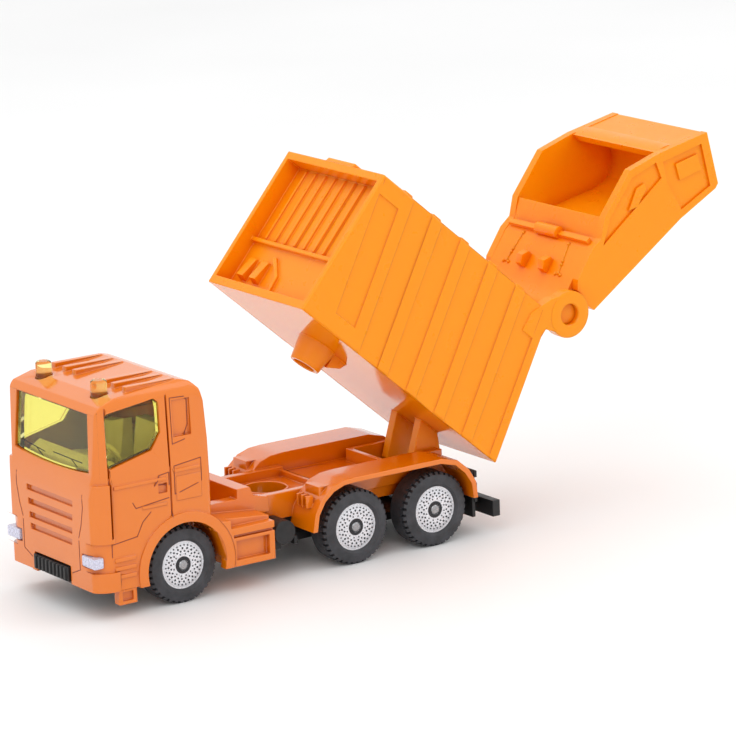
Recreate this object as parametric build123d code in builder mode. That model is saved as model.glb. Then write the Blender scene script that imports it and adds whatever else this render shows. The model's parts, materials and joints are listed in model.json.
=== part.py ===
from build123d import *
import os
from math import cos, radians, sin, tan

# Toy refuse truck: die-cast cab and frame, clear glazing, black base, spoked-print wheels,
# a tipping container and a lift-up rear hopper.  Millimetres.
# Frame: +X to the cab, +Y to the left side, +Z up, origin on the ground under the middle axle.
# The container stands tipped and the hopper stands open, the pose the toy is shown in.

os.makedirs("parts", exist_ok=True)

# ---- driving sizes: running gear -------------------------------------------------------------
tyre_dia = 11.0
tyre_width = 4.3
tyre_bore = 6.9
lug_count = 36
lug_gap = 0.38
lug_depth = 0.35
lug_length = 1.25
track_half = 11.45          # outer face of a tyre from the centre plane
rim_recess = 0.45           # rim face behind the tyre face
rim_disc = 1.1
rim_wall = 0.8
axle_dia = 1.5
axle_proud = 0.25           # axle end beyond the rim face
front_axle_x = 29.2
rear_axle_x = -13.9

# ---- driving sizes: cab ----------------------------------------------------------------------
cab_half = 12.1
cab_front = 43.7
cab_back = 24.45
cab_bottom = 4.1
cab_roof = 31.9
cab_wall = 1.2
cab_corner = 3.0
greenhouse_lean = 0.45      # side walls lean in above the waist
roof_round = 1.6
arch_radius = 6.4
arch_flange = 1.5
arch_proud = 0.3
beacon_x = 39.25
beacon_y = 7.44
beacon_dia = 2.3
beacon_height = 2.1

# ---- driving sizes: frame --------------------------------------------------------------------
frame_half = 6.6
frame_top = 11.4            # top of the side rails
deck_top = 10.4             # deck between the fenders
frame_bottom = 7.6
frame_wall = 1.2
frame_rear = -20.6
front_deck_top = 10.0       # lower deck between the rails
deck_step_x = 1.3
fender_top = 13.2
fender_half = 12.35
fender_front = 8.1
fender_rear = -20.8
fender_thick = 0.75
fender_foot = 6.3
ram_socket_dia = 6.0
ram_socket_wall = 0.4
slot_half = 4.1
slot_front = -10.2
lip_wall = 0.8
lip_top = 12.3
beam_x = 15.2
beam_width = 2.2
beam_top = 13.4

# ---- driving sizes: base plate ---------------------------------------------------------------
base_bottom = 3.4
base_thick = 1.2
base_half = 5.0
post_dia = 2.4
post_head_dia = 3.4
post_head_high = 0.55       # spread heads, sunk in pockets of the base plate
tank_dia = 3.5
tank_x = 11.6
tank_z = 6.7
tank_end = 10.4
bar_half = 11.8
bar_rear = -25.0

# ---- driving sizes: container ----------------------------------------------------------------
tip_angle = 40.7
pivot_x = -19.1
pivot_z = 8.6
pivot_pin_dia = 2.0
rear_overhang = 2.4         # floor corner behind the pivot
floor_lift = 5.0            # floor underside above the pivot
box_length = 43.15
box_height = 22.6
box_half = 12.35
box_wall = 1.2
rear_lean = 13.8            # rear edge and side ribs lean forward, degrees
front_recess = 2.7
panel_count = 6
panel_pitch = 6.3
panel_width = 4.1
panel_depth = 0.25
leg_half = 3.8
leg_thick = 1.5
ram_from_pivot = 27.1
ram_root_dia = 6.0
ram_tip_dia = 4.6
ram_bore = 3.4
ram_length = 3.6

# ---- driving sizes: hopper (tailgate) --------------------------------------------------------
hinge_back = 3.6            # hinge behind the rear edge of the container
hinge_above = 1.65          # hinge above the roof of the container
hinge_pin_dia = 3.0
ear_radius = 3.5
ear_inner = 10.5
gate_angle = 145.5
gate_half = 11.4
gate_seat = 3.2             # mating face below the hinge line

# ---- clearances ------------------------------------------------------------------------------
fit_gap = 0.1
run_gap = 0.06
rim_gap = 0.02
side_gap = 0.3

axle_z = tyre_dia / 2
axle_places = {"front": front_axle_x, "middle": 0.0, "rear": rear_axle_x}
deck_under = deck_top - frame_wall
base_top = base_bottom + base_thick
socket_x = pivot_x + ram_from_pivot
bearing_top = frame_bottom - fit_gap
seam_depth = 0.25
pin_end = frame_half - 0.7

# Local side planes: x along the container floor, y up from it; x out along the hopper, y outward.
box_plane = Plane(
    origin=(pivot_x, 0, pivot_z),
    x_dir=(cos(radians(tip_angle)), 0, sin(radians(tip_angle))),
    z_dir=(0, -1, 0),
)
box_rear = -rear_overhang
box_front = box_rear + box_length
box_floor = floor_lift
box_top = box_floor + box_height
lean = tan(radians(rear_lean))
corner_s = box_rear + box_height * lean
hinge_s = corner_s - hinge_back * cos(radians(rear_lean)) + hinge_above * lean
hinge_t = box_top + hinge_above
hinge_point = box_plane.from_local_coords((hinge_s, hinge_t, 0))
gate_plane = Plane(
    origin=hinge_point,
    x_dir=(cos(radians(gate_angle)), 0, sin(radians(gate_angle))),
    z_dir=(0, 1, 0),
)


def slab(points, plane, near, far):
    """The outline as a solid that runs from near to far along the plane's normal."""
    with BuildPart() as solid:
        with BuildSketch(plane.offset(near)):
            with BuildLine():
                Polyline(*points, close=True)
            make_face()
        extrude(amount=far - near)
    return solid.part


def both_sides(points, plane, inner, outer):
    """Two mirrored slabs, one on each side of the centre plane."""
    return slab(points, plane, inner, outer) + slab(points, plane, -outer, -inner)


def block(x0, x1, y0, y1, z0, z1):
    """A box given by its six faces."""
    with BuildPart() as solid:
        with BuildSketch(Plane.XY.offset(z0)):
            with BuildLine():
                Polyline((x0, y0), (x1, y0), (x1, y1), (x0, y1), close=True)
            make_face()
        extrude(amount=z1 - z0)
    return solid.part


def pair(x0, x1, y0, y1, z0, z1):
    """The same box on the left and on the right."""
    return block(x0, x1, y0, y1, z0, z1) + block(x0, x1, -y1, -y0, z0, z1)


def rod(plane, x, y, radius, near, far):
    """A round bar along the plane's normal."""
    with BuildPart() as solid:
        with BuildSketch(plane.offset(near)):
            with Locations((x, y)):
                Circle(radius)
        extrude(amount=far - near)
    return solid.part


def both_rods(plane, x, y, radius, inner, outer):
    """The same round bar on both sides of the centre plane."""
    return rod(plane, x, y, radius, inner, outer) + rod(plane, x, y, radius, -outer, -inner)


def write(piece, name):
    """Labels a finished piece and writes it as one node."""
    piece.label = name
    export_step(piece, "parts/" + name + ".step")


# ---- wheels and axles ------------------------------------------------------------------------
def wheel_plane(x, side):
    """Local x runs inward from the tyre face, local y is the radius, from the axle's centre."""
    return Plane(origin=(x, side * track_half, axle_z), x_dir=(0, -side, 0), z_dir=(-side, 0, 0))


def build_tyre(side):
    """The tyre of one side on the middle axle, with lugs round its outer shoulder."""
    outer = tyre_dia / 2
    bore = tyre_bore / 2
    wall = outer - bore
    with BuildPart() as tyre:
        with BuildSketch(wheel_plane(0, side)):
            with BuildLine():
                Polyline(
                    (0.3, bore),
                    (0.0, bore + wall * 7 / 41),
                    (0.0, outer - wall * 26 / 41),
                    (0.25, outer - wall * 7 / 41),
                    (0.55, outer),
                    (tyre_width - 0.5, outer),
                    (tyre_width, outer - wall * 12 / 41),
                    (tyre_width, bore),
                    close=True,
                )
            make_face()
        revolve(axis=Axis((0, 0, axle_z), (0, 1, 0)))
        with BuildSketch(Plane(origin=(0, side * track_half, axle_z), z_dir=(0, -side, 0))):
            with PolarLocations(outer - lug_depth / 2 + 0.05, lug_count):
                Rectangle(lug_depth + 0.1, lug_gap)
        extrude(amount=lug_length, mode=Mode.SUBTRACT)
    return tyre.part


def build_rim(side):
    """The wheel body of one side on the middle axle, hollow behind its face."""
    outer = tyre_bore / 2 - rim_gap
    bore = axle_dia / 2 + rim_gap
    deep = tyre_width - 0.6
    with BuildPart() as rim:
        with BuildSketch(wheel_plane(0, side)):
            with BuildLine():
                Polyline(
                    (rim_recess, bore),
                    (rim_recess, outer),
                    (deep, outer),
                    (deep, outer - rim_wall),
                    (rim_recess + rim_disc, outer - rim_wall),
                    (rim_recess + rim_disc, bore + 0.9),
                    (deep, bore + 0.9),
                    (deep, bore),
                    close=True,
                )
            make_face()
        revolve(axis=Axis((0, 0, axle_z), (0, 1, 0)))
    return rim.part


def build_axle():
    """The steel pin of the middle axle."""
    reach = track_half - rim_recess + axle_proud
    with BuildPart() as axle:
        with BuildSketch(Plane(origin=(0, -reach, axle_z), z_dir=(0, 1, 0))):
            Circle(axle_dia / 2)
        extrude(amount=2 * reach)
        fillet(axle.edges().filter_by(GeomType.CIRCLE), radius=0.3)
    return axle.part


axle_pin = build_axle()
for place, axle_x in axle_places.items():
    write(axle_pin.moved(Location((axle_x, 0, 0))), "axle_" + place)
for side_name, side in (("left", 1), ("right", -1)):
    side_tyre = build_tyre(side)
    side_rim = build_rim(side)
    for place, axle_x in axle_places.items():
        write(side_tyre.moved(Location((axle_x, 0, 0))), "tyre_" + place + "_" + side_name)
        write(side_rim.moved(Location((axle_x, 0, 0))), "rim_" + place + "_" + side_name)


# ---- cab -------------------------------------------------------------------------------------
screen_top = 29.1
screen_low = 20.95
screen_bow = 0.55
screen_half_top = 9.55
screen_half_low = 10.0
cab_profile = (
    (cab_back, 14.0),
    (cab_back + 0.7, cab_roof - 3.3),
    (cab_back + 1.2, cab_roof - 1.5),
    (cab_back + 2.3, cab_roof - 0.4),
    (cab_back + 3.8, cab_roof),
    (beacon_x, cab_roof - 0.8),
    (cab_front - 1.8, cab_roof - 1.7),
    (cab_front - 1.1, screen_top + 0.2),
    (cab_front - 0.6, screen_low - 0.3),
    (cab_front, 17.4),
)
cab_waist = 20.2
cab_section = (
    (cab_half + 2, cab_waist - 6),
    (cab_half, cab_waist - 6),
    (cab_half, cab_waist),
    (cab_half - greenhouse_lean, cab_roof - roof_round - 0.4),
    (cab_half - greenhouse_lean - roof_round * 0.3, cab_roof - roof_round * 0.5),
    (cab_half - greenhouse_lean - roof_round, cab_roof + 0.2),
)
window_points = (
    (40.6, 28.85),
    (33.2, 29.75),
    (32.75, 29.35),
    (32.75, 25.35),
    (34.15, 23.35),
    (40.65, 21.85),
)


def cab_block(inset, bottom):
    """The cab's outer form, moved inward by inset and cut off at bottom."""
    with BuildPart() as solid:
        with BuildSketch(Plane.XY.offset(bottom)):
            with BuildLine():
                Polyline(
                    (cab_back + inset, -cab_half + inset),
                    (cab_front - inset, -cab_half + inset),
                    (cab_front - inset, cab_half - inset),
                    (cab_back + inset, cab_half - inset),
                    close=True,
                )
            make_face()
        extrude(amount=cab_roof + 2 - bottom)
        front_edges = solid.edges().filter_by(Axis.Z).group_by(Axis.X)[-1]
        rear_edges = solid.edges().filter_by(Axis.Z).group_by(Axis.X)[0]
        fillet(front_edges, radius=cab_corner - inset * 0.6)
        fillet(rear_edges, radius=1.0)
        with BuildSketch(Plane.XZ):
            with BuildLine():
                low = bottom - 5
                Polyline((cab_back, low), *cab_profile, (cab_front, low), close=True)
            make_face()
            if inset > 0:
                offset(amount=-inset, kind=Kind.INTERSECTION)
        extrude(amount=cab_half + 2, both=True, mode=Mode.INTERSECT)
        with BuildSketch(Plane.YZ.offset(cab_back - 2)):
            with BuildLine():
                left = [(y - inset, z - inset) for y, z in cab_section]
                right = [(-y, z) for y, z in reversed(left)]
                Polyline((left[0][0], low), *left, *right, (right[-1][0], low), close=True)
            make_face()
        extrude(amount=cab_front - cab_back + 4, mode=Mode.INTERSECT)
    return solid.part


def screen_prism(shrink):
    """A prism through the windscreen opening, its lower edge bowed down."""
    low = screen_low + shrink
    high = screen_top - shrink
    half_low = screen_half_low - shrink
    half_top = screen_half_top - shrink
    with BuildPart() as solid:
        with BuildSketch(Plane.YZ.offset(cab_front - 4.5)):
            with BuildLine():
                Polyline((-half_low, low), (-half_top, high), (half_top, high), (half_low, low))
                ThreePointArc((half_low, low), (0, low - screen_bow), (-half_low, low))
            make_face()
        extrude(amount=6)
    return solid.part


def window_prism(shrink):
    """A prism through both side windows."""
    with BuildPart() as solid:
        with BuildSketch(Plane.XZ):
            with BuildLine():
                Polyline(*window_points, close=True)
            make_face()
            offset(amount=0.35 - shrink)
        extrude(amount=cab_half + 2, both=True)
    return solid.part


def arch_ring(radius, inner, outer):
    """Solid discs round the front wheels, one on each side."""
    return both_rods(Plane.XZ, front_axle_x, axle_z, radius, inner, outer)


posts = ((20.6, front_deck_top - 0.2), (-3.2, deck_under + 0.2))
grille_slots = ((16.1, 6.2, 0.45), (14.1, 6.0, 0.5), (12.15, 5.8, 0.5), (10.5, 5.6, 0.45))
with BuildPart() as cab_frame:
    # shell of the cab
    add(cab_block(0, cab_bottom))
    add(cab_block(cab_wall, cab_bottom - 1), mode=Mode.SUBTRACT)
    add(screen_prism(0), mode=Mode.SUBTRACT)
    add(window_prism(0), mode=Mode.SUBTRACT)
    # bumper below the grille, with the notch for the ribbed insert
    bumper = cab_block(-0.35, cab_bottom) - cab_block(0.6, cab_bottom - 1)
    add(bumper & block(cab_front - 3.6, cab_front + 2, -20, 20, cab_bottom, 6.9))
    # corner shields beside the grille
    add(bumper & pair(cab_front - 3.0, cab_front + 2, 7.9, 20, 11.0, 19.4))
    add(block(cab_front - 2.0, cab_front + 1.0, -4.9, 4.9, cab_bottom - 1, 6.75), mode=Mode.SUBTRACT)
    # grille: recessed field with four slots, the lower field, lamp sockets
    for slot_z, slot_y, slot_depth in grille_slots:
        slot = block(cab_front - slot_depth, cab_front + 1, -slot_y, slot_y, slot_z - 0.55, slot_z + 0.25)
        add(slot, mode=Mode.SUBTRACT)
    add(pair(cab_front - 0.45, cab_front + 1, 8.2, cab_half + 1, 7.5, 9.3), mode=Mode.SUBTRACT)
    # roof: long ribs beside the hatch, beacon seats
    for rib_y in (3.3, 6.0, 9.0):
        add(pair(cab_back + 4.2, 36.5, rib_y, rib_y + 1.0, cab_roof - 1.0, cab_roof + 0.12))
    with BuildSketch(Plane.XY.offset(cab_roof - 3)):
        with Locations((beacon_x, beacon_y), (beacon_x, -beacon_y)):
            Circle(beacon_dia / 2 + fit_gap)
    extrude(amount=6, mode=Mode.SUBTRACT)
    # doors: seams, handle cups, waist ribs, lower stripe, gutter
    for seam_x, seam_low, seam_top in ((41.05, 11.7, 30.0), (31.2, 13.2, 30.9)):
        seam = pair(seam_x - 0.12, seam_x + 0.12, cab_half - seam_depth, cab_half + 1, seam_low, cab_waist)
        add(seam, mode=Mode.SUBTRACT)
        upper = cab_half - greenhouse_lean
        seam = pair(seam_x - 0.12, seam_x + 0.12, upper - seam_depth, cab_half + 1, cab_waist, seam_top)
        add(seam, mode=Mode.SUBTRACT)
    add(pair(32.0, 40.5, cab_half - 0.2, cab_half + 0.25, 18.5, 19.0))
    add(pair(26.4, 30.6, cab_half - 0.2, cab_half + 0.25, 19.3, 19.8))
    add(pair(26.3, 30.4, cab_half - 0.2, cab_half + 0.15, 15.2, 18.7))
    add(pair(31.8, 33.2, cab_half - 0.45, cab_half + 1, 16.7, 18.1), mode=Mode.SUBTRACT)
    add(pair(32.0, 36.0, cab_half - 0.2, cab_half + 0.15, 14.9, 15.4))
    add(pair(27.4, 30.3, cab_half - 0.75, cab_half + 1, 24.2, 29.4), mode=Mode.SUBTRACT)
    # wheel arches with proud flanges
    add(arch_ring(arch_radius + arch_flange, cab_half - cab_wall, cab_half + arch_proud))
    add(arch_ring(arch_radius, frame_half + 0.4, cab_half + 2), mode=Mode.SUBTRACT)
    add(pair(20.0, 38.0, frame_half + 0.4, cab_half + 2, -4.0, 3.9), mode=Mode.SUBTRACT)
    notch_half = base_half + fit_gap
    notch_top = base_top + fit_gap
    notch = block(cab_back - 1, cab_back + cab_wall + 1, -notch_half, notch_half, cab_bottom - 1, notch_top)
    add(notch, mode=Mode.SUBTRACT)
    # louvred step panel ahead of the arch and the tow step below it
    for step_z in (5.8, 7.0, 8.2):
        add(pair(37.4, 40.8, cab_half - 0.2, cab_half + 0.25, step_z, step_z + 0.6))
    add(pair(37.3, 40.2, cab_half - 1.6, cab_half - 0.2, 1.9, cab_bottom + 1.0))
    add(pair(37.9, 39.6, cab_half - 0.7, cab_half + 1, 2.4, 3.7), mode=Mode.SUBTRACT)
    # side steps behind the arch
    step_points = (
        (14.6, 3.9),
        (21.9, 3.9),
        (22.9, 5.6),
        (23.6, 8.2),
        (cab_back + 0.05, 10.0),
        (cab_back + 0.05, 11.0),
        (14.6, 10.0),
    )
    add(both_sides(step_points, Plane.XZ, frame_half - 0.6, fender_half))
    add(pair(15.5, 21.0, fender_half - 0.9, fender_half + 1, 4.8, 7.6), mode=Mode.SUBTRACT)
    add(pair(14.0, 21.4, fender_half - 0.5, fender_half + 1, 8.1, 8.5), mode=Mode.SUBTRACT)
    add(pair(14.0, 21.8, fender_half - 1.4, fender_half + 1, 9.5, 12.0), mode=Mode.SUBTRACT)
    # frame channel from the cab to the tail
    add(block(frame_rear, cab_back + 1.0, -frame_half, frame_half, frame_bottom, frame_top))
    rail_inner = frame_half - frame_wall
    low_half = frame_half - 0.4
    hollow_rear = frame_rear + frame_wall
    hollow = block(hollow_rear, cab_back + 3, -rail_inner, rail_inner, frame_bottom - 1, deck_under)
    well = block(deck_step_x, cab_back + 3, -rail_inner, rail_inner, frame_bottom - 1, frame_top + 1)
    add(block(frame_rear - 1, deck_step_x, -cab_half, cab_half, deck_top, frame_top + 1), mode=Mode.SUBTRACT)
    add(hollow, mode=Mode.SUBTRACT)
    add(well, mode=Mode.SUBTRACT)
    # lower deck between the rails, under the ram socket and the well behind the cab
    front_deck_under = front_deck_top - frame_wall
    add(block(deck_step_x - 0.6, cab_back + 1.0, -low_half, low_half, front_deck_under, front_deck_top))
    add(block(deck_step_x - 0.1, deck_step_x + 0.5, -low_half, low_half, deck_under + 0.1, deck_top + 0.5))
    # cross beam and the brackets that carry it
    beam_front = beam_x + beam_width
    bracket = (
        (12.0, 9.2),
        (cab_back + 0.6, 9.2),
        (cab_back + 0.6, 12.0),
        (beam_front, 12.0),
        (beam_front, beam_top),
        (beam_x, beam_top),
        (beam_x - 0.6, 12.0),
        (12.2, frame_top),
    )
    add(both_sides(bracket, Plane.XZ, rail_inner, frame_half + 0.6))
    add(block(beam_x, beam_front, -frame_half, frame_half, front_deck_top - 0.1, beam_top))
    # ram socket with its collar
    with BuildSketch(Plane.XY.offset(front_deck_top - frame_wall)):
        with Locations((socket_x, 0)):
            Circle(ram_socket_dia / 2 + ram_socket_wall)
    extrude(amount=frame_wall + 0.6)
    with BuildSketch(Plane.XY.offset(frame_bottom - 1)):
        with Locations((socket_x, 0)):
            Circle(ram_socket_dia / 2)
    extrude(amount=6, mode=Mode.SUBTRACT)
    # raised lip round the slot that the container legs swing in
    lip_half = slot_half + lip_wall
    add(block(frame_rear + 0.8, slot_front + lip_wall, -lip_half, lip_half, deck_under, lip_top))
    slot = block(frame_rear - 1, slot_front, -slot_half, slot_half, frame_bottom - 1, lip_top + 1)
    add(slot, mode=Mode.SUBTRACT)
    # hinge lugs beside the slot
    add(pair(frame_rear, pivot_x + 1.9, slot_half, frame_half - 0.2, 6.9, deck_under + 0.5))
    bore_radius = pivot_pin_dia / 2 + run_gap
    pin_bore = both_rods(Plane.XZ, pivot_x, pivot_z, bore_radius, slot_half - 1, pin_end + fit_gap)
    add(pin_bore, mode=Mode.SUBTRACT)
    # tandem fenders and their inner webs
    fender_under = fender_top - fender_thick
    fender_outer = (
        (fender_front, fender_foot),
        (fender_front - 0.5, fender_top - 4.2),
        (fender_front - 1.7, fender_top - 2.2),
        (fender_front - 3.3, fender_top - 0.8),
        (fender_front - 5.3, fender_top - 0.15),
        (fender_front - 7.4, fender_top),
        (fender_rear + 6.3, fender_top),
        (fender_rear + 3.5, fender_top - 0.7),
        (fender_rear + 1.5, fender_top - 2.4),
        (fender_rear + 0.3, fender_top - 4.4),
        (fender_rear, fender_foot),
    )
    fender_inner = (
        (fender_rear + 0.8, fender_foot),
        (fender_rear + 1.1, fender_top - 4.6),
        (fender_rear + 2.2, fender_top - 2.9),
        (fender_rear + 3.9, fender_top - 1.4),
        (fender_rear + 6.4, fender_under),
        (fender_front - 7.4, fender_under),
        (fender_front - 5.6, fender_under - 0.1),
        (fender_front - 3.8, fender_top - 1.5),
        (fender_front - 2.3, fender_top - 2.7),
        (fender_front - 1.2, fender_top - 4.5),
        (fender_front - 0.8, fender_foot),
    )
    add(both_sides(fender_outer + fender_inner, Plane.XZ, frame_half - 0.3, fender_half))
    # webs between deck and fender, following the fender's line
    web_foot = (
        (fender_rear + 2.6, fender_top - 1.6),
        (fender_rear + 2.6, deck_under),
        (fender_front - 3.3, deck_under),
    )
    web = fender_outer[3:8] + web_foot
    add(both_sides(web, Plane.XZ, frame_half - 0.3, frame_half + 0.4))
    # pads with three ribs on the front slopes
    add(pair(fender_front - 3.8, fender_front - 1.9, 7.7, 11.2, fender_top - 2.4, fender_top - 0.7))
    for rib_y in (8.2, 9.3, 10.4):
        add(pair(fender_front - 1.2, fender_front, rib_y, rib_y + 0.4, fender_top - 3.6, fender_top - 1.8))
    # posts through the base plate, with spread heads
    for post_x, post_top in posts:
        with BuildSketch(Plane.XY.offset(base_bottom)):
            with Locations((post_x, 0)):
                Circle(post_dia / 2)
        extrude(amount=post_top - base_bottom)
        with BuildSketch(Plane.XY.offset(base_bottom)):
            with Locations((post_x, 0)):
                Circle(post_head_dia / 2)
        extrude(amount=post_head_high)
cab_frame.part.label = "cab_frame"
export_step(cab_frame.part, "parts/cab_frame.step")


# ---- clear glazing: hood, windscreen, side windows, two beacons --------------------------------
glaze_thick = 0.9
glaze_floor = 16.6
hood_inset = cab_wall + fit_gap
with BuildPart() as glazing:
    add(cab_block(hood_inset, glaze_floor))
    add(cab_block(hood_inset + glaze_thick, glaze_floor - 2), mode=Mode.SUBTRACT)
    hood_back = cab_back + hood_inset + glaze_thick + 1.6
    add(block(cab_back, hood_back, -cab_half, cab_half, glaze_floor - 3, cab_roof - 3.4), mode=Mode.SUBTRACT)
    pane = cab_block(0.4, glaze_floor) - cab_block(hood_inset + 0.3, glaze_floor - 2)
    add(pane & screen_prism(fit_gap))
    add(pane & window_prism(fit_gap))
    with BuildSketch(Plane.XY.offset(cab_roof - 3.2)):
        with Locations((beacon_x, beacon_y), (beacon_x, -beacon_y)):
            Circle(beacon_dia / 2)
    extrude(amount=3.2 - 0.9 + beacon_height)
    dome_edges = glazing.edges().filter_by(GeomType.CIRCLE).group_by(Axis.Z)[-1]
    fillet(dome_edges, radius=0.4)
glazing.part.label = "glazing"
export_step(glazing.part, "parts/glazing.step")

# ---- cab interior: floor, dash, two seats, column down to the base plate -----------------------
with BuildPart() as cab_interior:
    add(block(cab_back + 2.6, cab_front - 2.6, -9.7, 9.7, glaze_floor - 1.2, glaze_floor - 0.02))
    add(block(34.4, 38.0, -2.4, 2.4, base_top + 0.02, glaze_floor - 1.0))
    dash_low = glaze_floor - 0.1
    dash_points = ((37.6, dash_low), (41.0, dash_low), (40.3, 20.6), (38.6, 21.6), (37.6, 20.4))
    add(slab(dash_points, Plane.XZ, -9.2, 9.2))
    seat_points = ((29.0, dash_low), (34.2, dash_low), (34.2, 19.4), (31.2, 19.0), (30.4, 25.4), (29.0, 25.6))
    add(slab(seat_points, Plane.XZ, 1.6, 7.8))
    add(slab(seat_points, Plane.XZ, -7.8, -1.6))
    add(block(27.2, 28.2, -9.2, 9.2, glaze_floor - 0.1, 22.6))
    with BuildSketch(Plane(origin=(36.4, 4.7, 21.4), z_dir=(-0.86, 0, 0.5))):
        Circle(1.9)
        Circle(1.4, mode=Mode.SUBTRACT)
        Rectangle(3.2, 0.6)
    extrude(amount=0.5)
    add(slab(((36.2, 21.2), (36.8, 21.9), (38.9, 20.9), (38.6, 19.9)), Plane.XZ, -5.1, -4.3))
cab_interior.part.label = "cab_interior"
export_step(cab_interior.part, "parts/cab_interior.step")

# ---- black base plate --------------------------------------------------------------------------
bearing_half = 1.7
bearing_bore = axle_dia / 2 + run_gap
bearing_side = frame_half - side_gap
step_inner = frame_half - 1.0
with BuildPart() as base_plate:
    add(block(-21.0, 42.2, -base_half, base_half, base_bottom, base_top))
    # ribbed insert in the bumper notch
    add(block(41.0, cab_front + 0.3, -4.7, 4.7, 4.5, 6.55))
    add(block(39.8, 42.2, -4.7, 4.7, base_bottom, 6.55))
    for rib_y in range(-4, 5):
        add(block(cab_front + 0.2, cab_front + 0.55, rib_y - 0.25, rib_y + 0.25, 4.6, 6.45))
    # axle bearings
    for axle_x in axle_places.values():
        near = axle_x - bearing_half
        add(pair(near, near + 2 * bearing_half, leg_half + 0.5, bearing_side, base_bottom, bearing_top))
    for axle_x in axle_places.values():
        add(rod(Plane.XZ, axle_x, axle_z, bearing_bore, -frame_half - 1, frame_half + 1), mode=Mode.SUBTRACT)
    # well under the ram socket, sides up to the frame
    add(block(2.4, 3.6, -bearing_side, bearing_side, base_bottom, frame_bottom - 0.05))
    add(block(15.6, 16.8, -step_inner, step_inner, base_bottom, frame_bottom - 0.05))
    # air tanks and their brackets, left and right
    add(both_rods(Plane.XZ, tank_x, tank_z, tank_dia / 2, frame_half + fit_gap, tank_end))
    add(pair(tank_x - 1.3, tank_x + 1.3, base_half - 1.5, frame_half + 0.6, base_bottom, tank_z))
    add(pair(8.9, 9.5, base_half - 0.5, 9.4, 4.4, 5.6))
    # tail: arms, underrun bar, lamp boards with three lamps each
    board_rear = fender_rear - 0.65
    add(pair(frame_rear - 0.3, -17.2, base_half - 0.8, frame_half - 0.4, base_bottom, 6.2))
    add(pair(bar_rear + 0.8, -20.0, base_half - 0.4, frame_half - 0.2, base_bottom, 5.0))
    add(block(bar_rear, bar_rear + 1.3, -bar_half, bar_half, 2.7, 5.1))
    add(pair(board_rear, fender_rear - 0.1, 5.6, 10.6, 2.9, 10.0))
    add(pair(board_rear, frame_rear + 0.2, base_half - 0.6, 6.4, base_bottom, 5.6))
    for lamp_z in (5.7, 7.6, 9.4):
        add(pair(board_rear - 0.2, board_rear + 0.3, 9.0, 10.9, lamp_z - 0.5, lamp_z + 0.5))
    # holes for the posts, with pockets for their heads
    with BuildSketch(Plane.XY.offset(base_bottom)):
        with Locations(*[(post_x, 0) for post_x, post_top in posts]):
            Circle(post_head_dia / 2 + fit_gap)
    extrude(amount=post_head_high + fit_gap, mode=Mode.SUBTRACT)
    with BuildSketch(Plane.XY.offset(base_bottom - 2)):
        with Locations(*[(post_x, 0) for post_x, post_top in posts]):
            Circle(post_dia / 2 + fit_gap)
    extrude(amount=8, mode=Mode.SUBTRACT)
base_plate.part.label = "base_plate"
export_step(base_plate.part, "parts/base_plate.step")

# ---- container -----------------------------------------------------------------------------------
outer_side = (
    (box_rear, box_floor),
    (box_front, box_floor),
    (box_front, box_top),
    (corner_s, box_top),
)
inner_side = (
    (box_rear - 2, box_floor + box_wall),
    (box_front - front_recess - box_wall, box_floor + box_wall),
    (box_front - front_recess - box_wall, box_top - box_wall),
    (corner_s - 2, box_top - box_wall),
)
recess_side = (
    (box_front - front_recess, box_floor + box_wall + 0.1),
    (box_front + 1, box_floor + box_wall + 0.1),
    (box_front + 1, box_top - box_wall),
    (box_front - front_recess, box_top - box_wall),
)
leg_points = (
    (-1.8, 0.5), (-1.7, -0.7), (-0.8, -1.65), (0.9, -1.9), (2.6, -1.9), (4.3, -1.35),
    (7.2, box_floor + 0.3), (3.6, box_floor + 0.3),
)


def side_panel(index, margin):
    """One leaning recess on the side wall, counted from the rear."""
    foot = box_rear + 1.7 + index * panel_pitch
    low = box_floor + margin
    high = box_top - margin
    return (
        (foot + (low - box_floor) * lean, low),
        (foot + panel_width + (low - box_floor) * lean, low),
        (foot + panel_width + (high - box_floor) * lean, high),
        (foot + (high - box_floor) * lean, high),
    )


def ram_plane(height):
    """A plane across the ram, at this height above the pivot."""
    origin = box_plane.from_local_coords((ram_from_pivot, height, 0))
    return Plane(origin=origin, x_dir=box_plane.x_dir, z_dir=box_plane.y_dir)


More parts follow.
